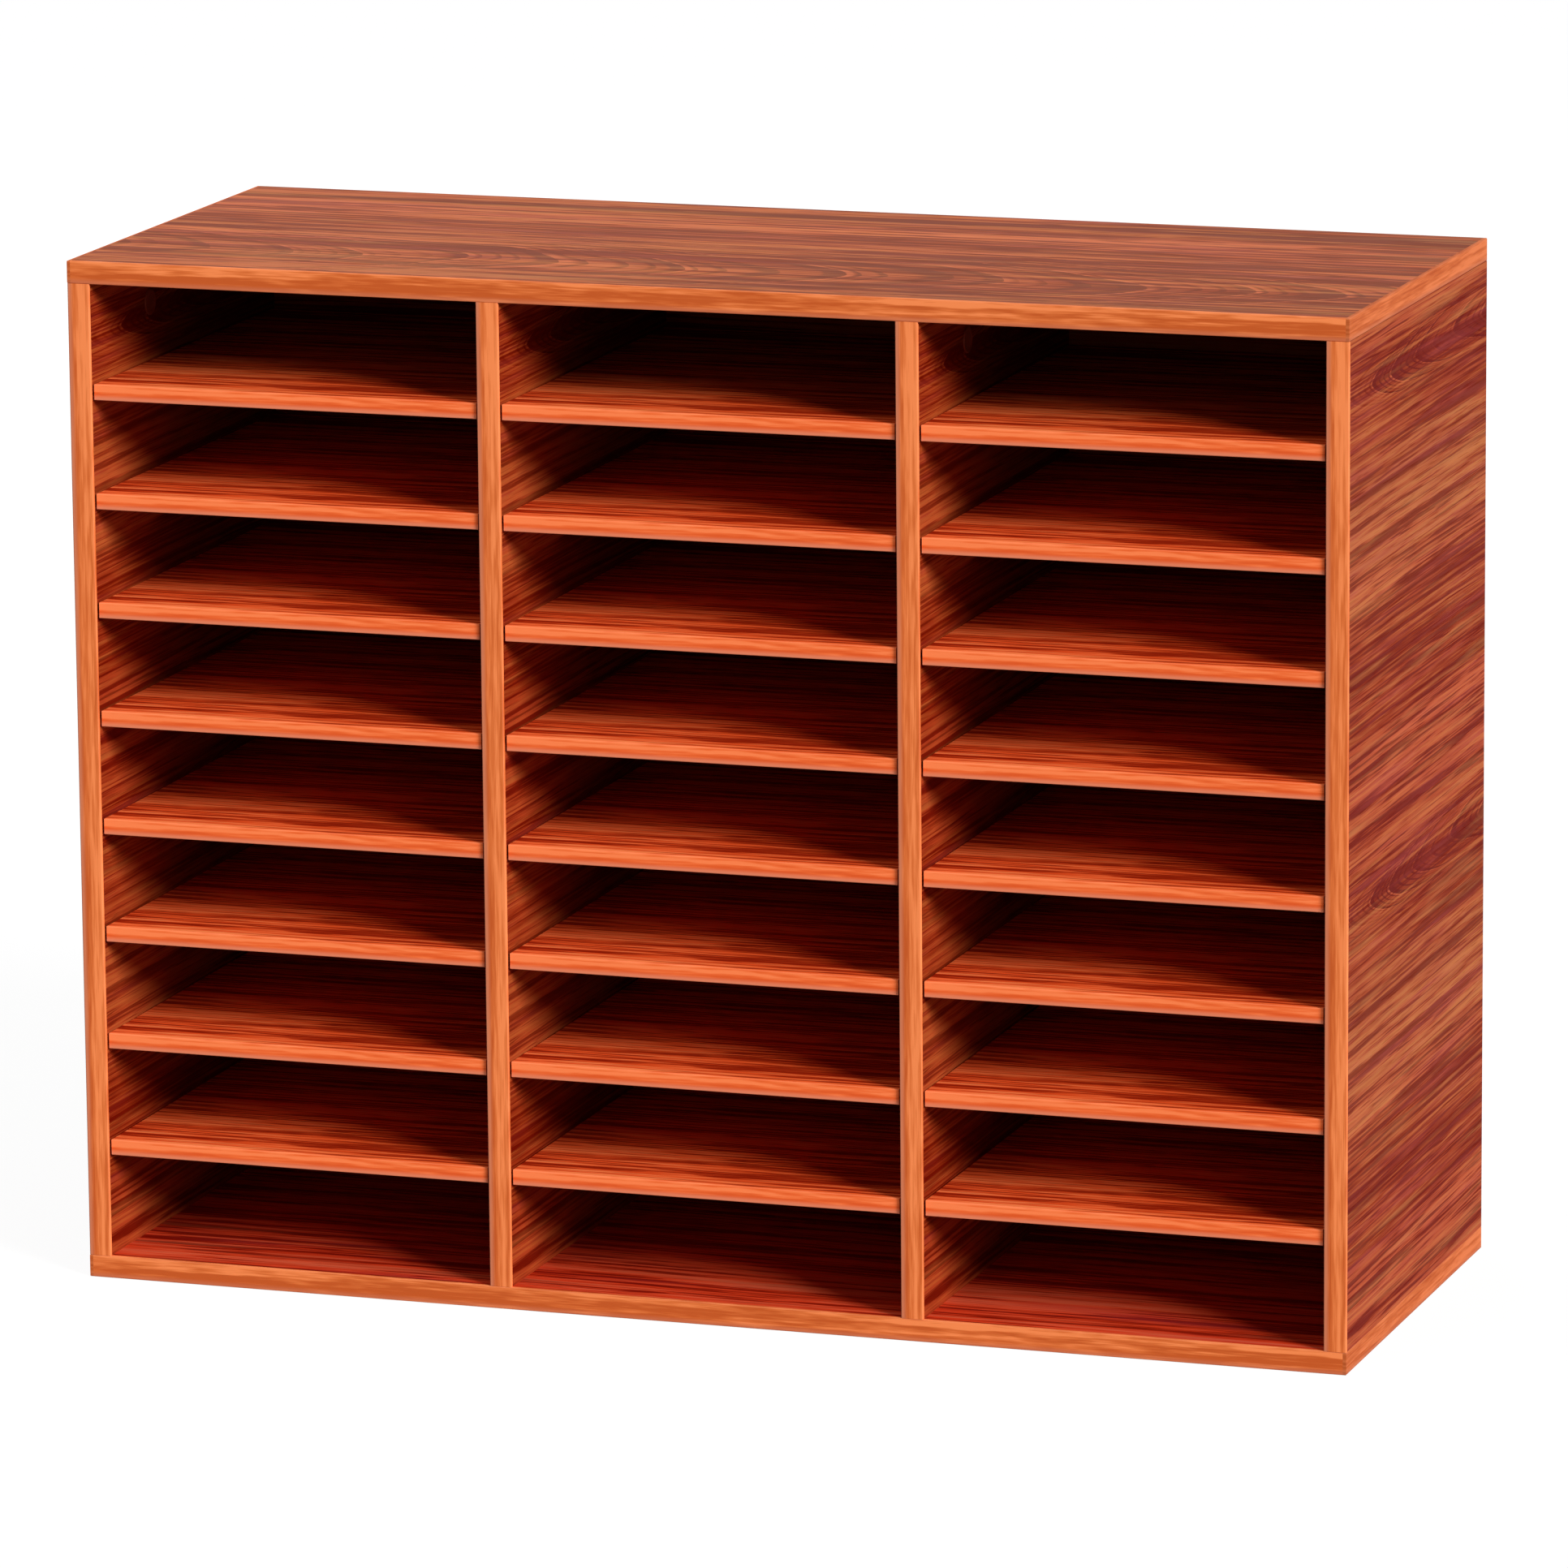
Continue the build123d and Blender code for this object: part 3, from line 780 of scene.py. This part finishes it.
class ORGANIZER_OT_shelves(OrganizerOperator, bpy.types.Operator):
    """Gives the loose shelves their redder print, their raw ends and the band on their front edge."""

    bl_idname = "organizer.shelves"
    bl_label = "Finish Shelves"

    def execute(self, context):
        finish = Finish("wood_print_shelf", Specular_IOR_Level=LAMINATE_SPECULAR)
        along = finish.column_x()
        across = finish.math("MULTIPLY_ADD", finish.y, LEVEL_NARROWING, self.sizes.shelf_shift)
        tone, _, grain, pores, fine = finish.print_on(along, across, SHEETS["shelf"])
        board = shelf_colours(finish, tone, finish.math("MULTIPLY", grain, SHELF_CONTRAST))
        board = finish.mix(finish.math("MULTIPLY", pores, 0.6), board, self.colours.shelf_dark)
        raw = finish.step(finish.math("MAXIMUM", finish.normal_x, finish.normal_y), 0.5, 0.6)
        board = finish.mix(raw, board, finish.chipboard())
        names = ("shelf_band_dark", "shelf_band", "shelf_band_pale", "shelf_band_sheen")
        tones = [getattr(self.colours, name) for name in names]
        rise = finish.math("WRAP", finish.math("SUBTRACT", finish.z, SHELF_LOW), SHELF_PITCH, 0.0)
        band, _ = finish.edge_band(along, rise, SHEETS["shelf_band"], tones, SHELF_SHADE_TO_LIGHT)
        on_board = finish.math("GREATER_THAN", finish.y, SHELF_BAND_BACK)
        base = finish.mix(on_board, band, board)
        roughness = finish.total(LAMINATE_ROUGHNESS, (fine, 0.35))
        finish.shade(base, roughness, finish.print_relief(fine, pores, 0.3))
        put_finish(finish.material, *SHELVES)
        return {"FINISHED"}


class ORGANIZER_OT_edge_bands(OrganizerOperator, bpy.types.Operator):
    """Gives the edge bands of the top, bottom, sides and dividers their lighter print."""

    bl_idname = "organizer.edge_bands"
    bl_label = "Finish Edge Bands"

    def execute(self, context):
        colours = self.colours
        tones = (colours.band_dark, colours.band_orange, colours.band_pale, colours.band_sheen)
        upright = Finish("edge_band_upright", Specular_IOR_Level=LAMINATE_SPECULAR)
        across = upright.math("WRAP", upright.math("SUBTRACT", upright.x, LOW.x), COLUMN_PITCH, 0.0)
        base, fine = upright.edge_band(
            upright.z, across, SHEETS["upright_band"], tones, UPRIGHT_SHADE_TO_LIGHT, contrast=0.7
        )
        upright.shade_band(base, fine)
        put_finish(upright.material, *[f"{wall}_edge_band" for wall in WALLS])

        level = Finish("edge_band_level", Specular_IOR_Level=LAMINATE_SPECULAR)
        rise = level.math("WRAP", level.math("SUBTRACT", level.z, LOW.z), TOP_LOW - LOW.z, 0.0)
        sheet = SHEETS["level_band"]
        front, fine = level.edge_band(level.x, rise, sheet, tones, LEVEL_SHADE_TO_LIGHT, contrast=1.1, sheen_share=0.5)
        end, _ = level.edge_band(level.y, rise, sheet, tones, END_SHADE_TO_LIGHT, contrast=0.8, sheen_share=0.5)
        at_end = level.math("GREATER_THAN", level.math("ABSOLUTE", level.x), END_BAND_INSIDE)
        # Painted shade on the band ends at the sides.
        base = level.mix(at_end, front, level.mix(1.0, end, colours.end_painted_shade, "MULTIPLY"))
        level.shade_band(base, fine)
        put_finish(level.material, *[f"{board}_edge_band" for board in LEVEL_BOARDS])
        return {"FINISHED"}


class ORGANIZER_OT_back_board(OrganizerOperator, bpy.types.Operator):
    """Gives the back its printed face towards the pockets and its pressed hardboard face behind."""

    bl_idname = "organizer.back_board"
    bl_label = "Finish Back"

    def execute(self, context):
        finish = Finish("hardboard_back", Specular_IOR_Level=LAMINATE_SPECULAR)
        across = finish.math("SUBTRACT", finish.z, self.sizes.back_heart)
        tone, _, grain, _, _ = finish.print_on(finish.x, across, SHEETS["back"])
        front = shelf_colours(finish, tone, grain)
        # Painted shade on the front of the back, deep in the pockets.
        front = finish.mix(1.0, front, self.colours.back_painted_shade, "MULTIPLY")
        fibres = finish.noise(finish.place, GRIT["fibres"], detail=6, roughness=0.7)
        mesh = finish.cells(finish.place, GRIT["screen"])["Distance"]
        level = finish.total(0.5, (fibres, 1.6), (mesh, -0.35))
        rear = finish.ramp(level, ((0.1, self.colours.fibre_dark), (0.75, self.colours.fibre_light)))
        behind = finish.math("GREATER_THAN", finish.y, BACK_FACE + 0.2 * MM)
        base = finish.mix(behind, front, rear)
        height = finish.math("MULTIPLY", finish.total(0.0, (fibres, 1.0), (mesh, -0.8)), behind)
        roughness = finish.total(finish.math("MULTIPLY_ADD", behind, 0.28, 0.5), (fibres, 0.3))
        put_finish(finish.shade(base, roughness, finish.bump(height, 0.25 * MM, 0.5)), "back_panel")
        return {"FINISHED"}


class ORGANIZER_OT_shelf_pins(OrganizerOperator, bpy.types.Operator):
    """Models a shelf pin with its stop collar and rounded tip, and sets four under each shelf."""

    bl_idname = "organizer.shelf_pins"
    bl_label = "Model Shelf Pins"

    def pin(self):
        sizes = self.sizes
        plain_start()
        bpy.ops.mesh.primitive_cylinder_add(
            vertices=12, radius=sizes.pin_diameter / 2, depth=sizes.pin_reach + sizes.pin_depth,
            location=((sizes.pin_reach - sizes.pin_depth) / 2, 0, 0), rotation=(0, math.pi / 2, 0),
        )
        bpy.ops.object.transform_apply(location=True, rotation=True, scale=True)
        pin = bpy.context.object
        bpy.ops.object.mode_set(mode="EDIT")
        cut_across_x((0.0, sizes.collar_thickness))
        select_faces(pin, lambda centre, normal: normal.x > 0.9)
        bpy.ops.mesh.bevel(offset=PIN_ROUNDING, segments=2, affect="EDGES")
        select_faces(pin, lambda centre, normal: 0 < centre.x < sizes.collar_thickness)
        rise = (sizes.collar_diameter - sizes.pin_diameter) / 2
        bpy.ops.mesh.extrude_region_shrink_fatten(TRANSFORM_OT_shrink_fatten={"value": rise})
        bpy.ops.object.mode_set(mode="OBJECT")
        return pin

    def execute(self, context):
        material = metal_finish("nickel_steel", self.colours.nickel, 0.3)
        ys = (LOW.y + self.sizes.pin_inset, BACK_FACE - self.sizes.pin_inset)
        drop = self.sizes.pin_gap + self.sizes.pin_diameter / 2
        levels = sorted({round(node_low(shelf).z, 5) - drop for shelf in SHELVES if shelf.startswith("left")})
        for wall in WALLS:
            places = [
                facing(x, direction, y, z) for x, direction in column_faces(wall) for z in levels for y in ys
            ]
            pins = copies(self.pin(), f"{wall}_round_pins", places)
            fit(pins, material, "nickel_steel", f"{wall}_shelf_pins")
        return {"FINISHED"}


class ORGANIZER_OT_cover_caps(OrganizerOperator, bpy.types.Operator):
    """Models a cover cap with a raised rim and a slightly hollow face, and sets one over each cam."""

    bl_idname = "organizer.cover_caps"
    bl_label = "Model Cover Caps"

    def cap(self):
        sizes = self.sizes
        plain_start()
        bpy.ops.mesh.primitive_cylinder_add(
            vertices=40, radius=sizes.cap_diameter / 2, depth=sizes.cap_thickness,
            location=(sizes.cap_thickness / 2, 0, 0), rotation=(0, math.pi / 2, 0),
        )
        bpy.ops.object.transform_apply(location=True, rotation=True, scale=True)
        cap = bpy.context.object
        bpy.ops.object.mode_set(mode="EDIT")
        select_faces(cap, lambda centre, normal: normal.x > 0.9)
        bpy.ops.mesh.bevel(offset=CAP_ROUNDING, segments=3, affect="EDGES")
        select_faces(cap, lambda centre, normal: normal.x > 0.99 and centre.yz.length < MM)
        bpy.ops.mesh.inset(thickness=sizes.cap_rim)
        bpy.ops.mesh.inset(thickness=CAP_SLOPE)
        bpy.ops.transform.translate(value=(-CAP_HOLLOW, 0, 0))
        bpy.ops.mesh.inset(thickness=CAP_CROWN_SLOPE)
        bpy.ops.transform.translate(value=(CAP_CROWN, 0, 0))
        bpy.ops.object.mode_set(mode="OBJECT")
        return cap

    def execute(self, context):
        finish = Finish("cover_cap", Specular_IOR_Level=0.15)
        spark = finish.noise(finish.place, GRIT["plastic_grain"], detail=3)
        cloud = finish.noise(finish.place, GRIT["plastic_cloud"], detail=2)
        dark = darker(self.colours.cap, 0.7)
        base = finish.mix(finish.step(finish.total(cloud, (spark, 0.6)), -0.25, 0.3), dark, self.colours.cap)
        finish.shade(base, finish.total(0.5, (cloud, 0.3)), finish.bump(spark, 0.04 * MM, 0.4))
        low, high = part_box("cam_cover_caps")
        radius = self.sizes.cap_diameter / 2
        spots = [(y, low.z + radius) for y in (low.y + radius, high.y - radius)]
        # The cams sit in the faces that look into the two outer columns.
        faces = [column_faces(WALLS[0])[0], column_faces(WALLS[1])[0]]
        faces += [column_faces(WALLS[2])[1], column_faces(WALLS[3])[0]]
        places = [facing(x, direction, y, z) for x, direction in faces for y, z in spots]
        caps = copies(self.cap(), "round_cover_caps", places)
        fit(caps, finish.material, "cover_cap", "cam_cover_caps")
        return {"FINISHED"}


class ORGANIZER_OT_base_screws(OrganizerOperator, bpy.types.Operator):
    """Models a countersunk screw with a hexagon socket, and sets two under each upright board."""

    bl_idname = "organizer.base_screws"
    bl_label = "Model Base Screws"

    def screw(self, low, high):
        sizes = self.sizes
        plain_start()
        bpy.ops.mesh.primitive_cylinder_add(
            vertices=32, radius=sizes.screw_shank / 2, depth=high - low, location=(0, 0, (low + high) / 2)
        )
        screw = bpy.context.object
        bpy.ops.object.transform_apply(location=True, rotation=True, scale=True)
        bpy.ops.object.mode_set(mode="EDIT")
        for place in (low + SCREW_RIM, low + sizes.screw_head_height, high - SCREW_POINT):
            bpy.ops.mesh.select_all(action="SELECT")
            bpy.ops.mesh.bisect(plane_co=(0, 0, place), plane_no=(0, 0, 1))
        bpy.ops.object.mode_set(mode="OBJECT")
        wide = sizes.screw_head / sizes.screw_shank
        for vertex in screw.data.vertices:
            if vertex.co.z < low + sizes.screw_head_height / 2:
                vertex.co.xy *= wide
            elif vertex.co.z > high - SCREW_POINT / 2:
                vertex.co.xy *= SCREW_TIP_SHARE
        plain_start()
        bpy.ops.mesh.primitive_cylinder_add(
            vertices=6, radius=sizes.screw_socket / math.sqrt(3), depth=2 * sizes.screw_socket_depth,
            location=(0, 0, low),
        )
        cutter = bpy.context.object
        cut = screw.modifiers.new("socket", "BOOLEAN")
        cut.object = cutter
        cut.operation = "DIFFERENCE"
        plain_start()
        screw.select_set(True)
        bpy.context.view_layer.objects.active = screw
        bpy.ops.object.modifier_apply(modifier=cut.name)
        bpy.data.objects.remove(cutter)
        return screw

    def execute(self, context):
        low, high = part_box("base_screws")
        ys = (LOW.y + self.sizes.screw_inset, BACK_FACE - self.sizes.screw_inset)
        middles = [(node_low(wall).x + node_high(wall).x) / 2 for wall in WALLS]
        places = [Matrix.Translation((x, y, 0)) for x in middles for y in ys]
        screws = copies(self.screw(low.z, high.z), "round_base_screws", places)
        fit(screws, metal_finish("zinc_screw", self.colours.zinc, 0.36), "zinc_screw", "base_screws")
        return {"FINISHED"}


class ORGANIZER_OT_hidden_fittings(OrganizerOperator, bpy.types.Operator):
    """Gives the cams, the cam bolts and the dowels inside the boards their metal and wood."""

    bl_idname = "organizer.hidden_fittings"
    bl_label = "Finish Hidden Fittings"

    def execute(self, context):
        put_finish(metal_finish("zinc_cam", self.colours.zinc, 0.42), "cam_locks")
        put_finish(metal_finish("nickel_bolt", self.colours.nickel, 0.3), "cam_bolts")
        dowel = Finish("beech_dowel", Specular_IOR_Level=0.1)
        fleck = dowel.noise(dowel.place, GRIT["fleck"], detail=3)
        dark = darker(self.colours.beech, 0.7)
        base = dowel.mix(dowel.step(fleck, -0.2, 0.25), dark, self.colours.beech)
        dowel.shade(base, dowel.total(0.65, (fleck, 0.2)), dowel.bump(fleck, 0.08 * MM, 0.4))
        put_finish(dowel.material, "dowels")
        return {"FINISHED"}


class ORGANIZER_OT_stage(OrganizerOperator, bpy.types.Operator):
    """Lays a pale floor, hangs the lamps and stands the camera where the photograph was taken from."""

    bl_idname = "organizer.stage"
    bl_label = "Set Stage"

    def seen(self, graph):
        """1 for the rays of the camera, of reflections and of glass, and 0 for those that carry light."""
        path = graph.node("ShaderNodeLightPath").outputs
        shown = graph.math("MAXIMUM", path["Is Camera Ray"], path["Is Glossy Ray"])
        return graph.math("MAXIMUM", shown, path["Is Transmission Ray"])

    def lay_floor(self):
        plain_start()
        level = LOW.z - self.stage.floor_gap
        bpy.ops.mesh.primitive_plane_add(size=self.stage.floor_size, location=(0, 0, level))
        floor = bpy.context.object
        floor.name = "floor"
        material = bpy.data.materials.new("pale_floor")
        material.use_nodes = True
        material.node_tree.nodes.clear()
        graph = Graph(material.node_tree)
        glow = self.stage.floor_glow
        matt = graph.node("ShaderNodeBsdfDiffuse", {"Color": (FLOOR_GREY, FLOOR_GREY, FLOOR_GREY, 1)})
        shadow = (1 - glow) * SHADOW_GAIN
        shown = graph.node("ShaderNodeBsdfDiffuse", {"Color": (shadow, shadow, shadow, 1)})
        white = graph.node("ShaderNodeEmission", {"Color": (1, 1, 1, 1), "Strength": glow})
        both = graph.node("ShaderNodeAddShader", {0: shown.outputs[0], 1: white.outputs[0]})
        picked = graph.node(
            "ShaderNodeMixShader", {0: self.seen(graph), 1: matt.outputs[0], 2: both.outputs[0]}
        )
        graph.node("ShaderNodeOutputMaterial", {"Surface": picked.outputs[0]})
        floor.data.materials.append(material)

    def light_world(self):
        world = bpy.data.worlds.new("studio")
        bpy.context.scene.world = world
        world.use_nodes = True
        graph = Graph(world.node_tree)
        level = graph.math("MULTIPLY_ADD", self.seen(graph), 1 - self.stage.sky_level, self.stage.sky_level)
        background = world.node_tree.nodes["Background"]
        background.inputs["Color"].default_value = (1, 1, 1, 1)
        graph.feed(background.inputs["Strength"], level)

    def hang_key(self):
        key = bpy.data.lights.new("key", "SUN")
        key.energy = self.stage.key_level * math.pi
        key.angle = self.stage.key_spread
        lamp = bpy.data.objects.new("key", key)
        lamp.rotation_mode = "QUATERNION"
        lamp.rotation_quaternion = Vector(self.stage.key_direction).to_track_quat("-Z", "Y")
        bpy.context.scene.collection.objects.link(lamp)

    def hang_softbox(self, name, place, power):
        light = bpy.data.lights.new(name, "AREA")
        light.energy = power
        light.size = self.stage.softbox_size
        lamp = bpy.data.objects.new(name, light)
        lamp.location = place
        lamp.rotation_mode = "QUATERNION"
        lamp.rotation_quaternion = ((LOW + HIGH) / 2 - lamp.location).to_track_quat("-Z", "Y")
        bpy.context.scene.collection.objects.link(lamp)
        return lamp

    def hang_lamps(self):
        self.hang_key()
        self.hang_softbox("fill", self.stage.fill_place, self.stage.fill_power)
        back = self.hang_softbox("back", self.stage.back_place, self.stage.back_power)
        back.visible_glossy = False

    def stand_camera(self):
        data = bpy.data.cameras.new("camera")
        data.lens = self.stage.lens
        data.sensor_width = SENSOR_WIDTH
        camera = bpy.data.objects.new("camera", data)
        turn = Matrix.Rotation(self.stage.camera_turn, 4, "Z")
        dip = Matrix.Rotation(math.pi / 2 - self.stage.camera_dip, 4, "X")
        roll = Matrix.Rotation(self.stage.camera_roll, 4, "Z")
        camera.matrix_world = Matrix.Translation(self.stage.camera_place) @ turn @ dip @ roll
        bpy.context.scene.collection.objects.link(camera)
        bpy.context.scene.camera = camera

    def execute(self, context):
        self.lay_floor()
        self.light_world()
        self.hang_lamps()
        self.stand_camera()
        bpy.context.scene.view_settings.view_transform = "Standard"
        return {"FINISHED"}


PROPERTY_GROUPS = {
    "organizer_sizes": ORGANIZER_PG_sizes,
    "organizer_colours": ORGANIZER_PG_colours,
    "organizer_stage": ORGANIZER_PG_stage,
}
OPERATORS = (
    ORGANIZER_OT_level_boards,
    ORGANIZER_OT_upright_boards,
    ORGANIZER_OT_shelves,
    ORGANIZER_OT_edge_bands,
    ORGANIZER_OT_back_board,
    ORGANIZER_OT_shelf_pins,
    ORGANIZER_OT_cover_caps,
    ORGANIZER_OT_base_screws,
    ORGANIZER_OT_hidden_fittings,
    ORGANIZER_OT_stage,
)


class ORGANIZER_PT_sidebar(bpy.types.Panel):
    """The sidebar tab with a button for each group of pieces."""

    bl_label = "Literature Organizer"
    bl_idname = "ORGANIZER_PT_sidebar"
    bl_space_type = "VIEW_3D"
    bl_region_type = "UI"
    bl_category = "Organizer"

    def draw(self, context):
        for operator in OPERATORS:
            self.layout.operator(operator.bl_idname)


CLASSES = (*PROPERTY_GROUPS.values(), *OPERATORS, ORGANIZER_PT_sidebar)


def register():
    for cls in CLASSES:
        bpy.utils.register_class(cls)
    for name, group in PROPERTY_GROUPS.items():
        setattr(bpy.types.Scene, name, PointerProperty(type=group))


def unregister():
    for name in PROPERTY_GROUPS:
        delattr(bpy.types.Scene, name)
    for cls in reversed(CLASSES):
        bpy.utils.unregister_class(cls)


def main():
    register()
    bpy.ops.organizer.level_boards()
    bpy.ops.organizer.upright_boards()
    bpy.ops.organizer.shelves()
    bpy.ops.organizer.edge_bands()
    bpy.ops.organizer.back_board()
    bpy.ops.organizer.shelf_pins()
    bpy.ops.organizer.cover_caps()
    bpy.ops.organizer.base_screws()
    bpy.ops.organizer.hidden_fittings()
    bpy.ops.organizer.stage()
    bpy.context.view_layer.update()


if __name__ == "__main__":
    main()
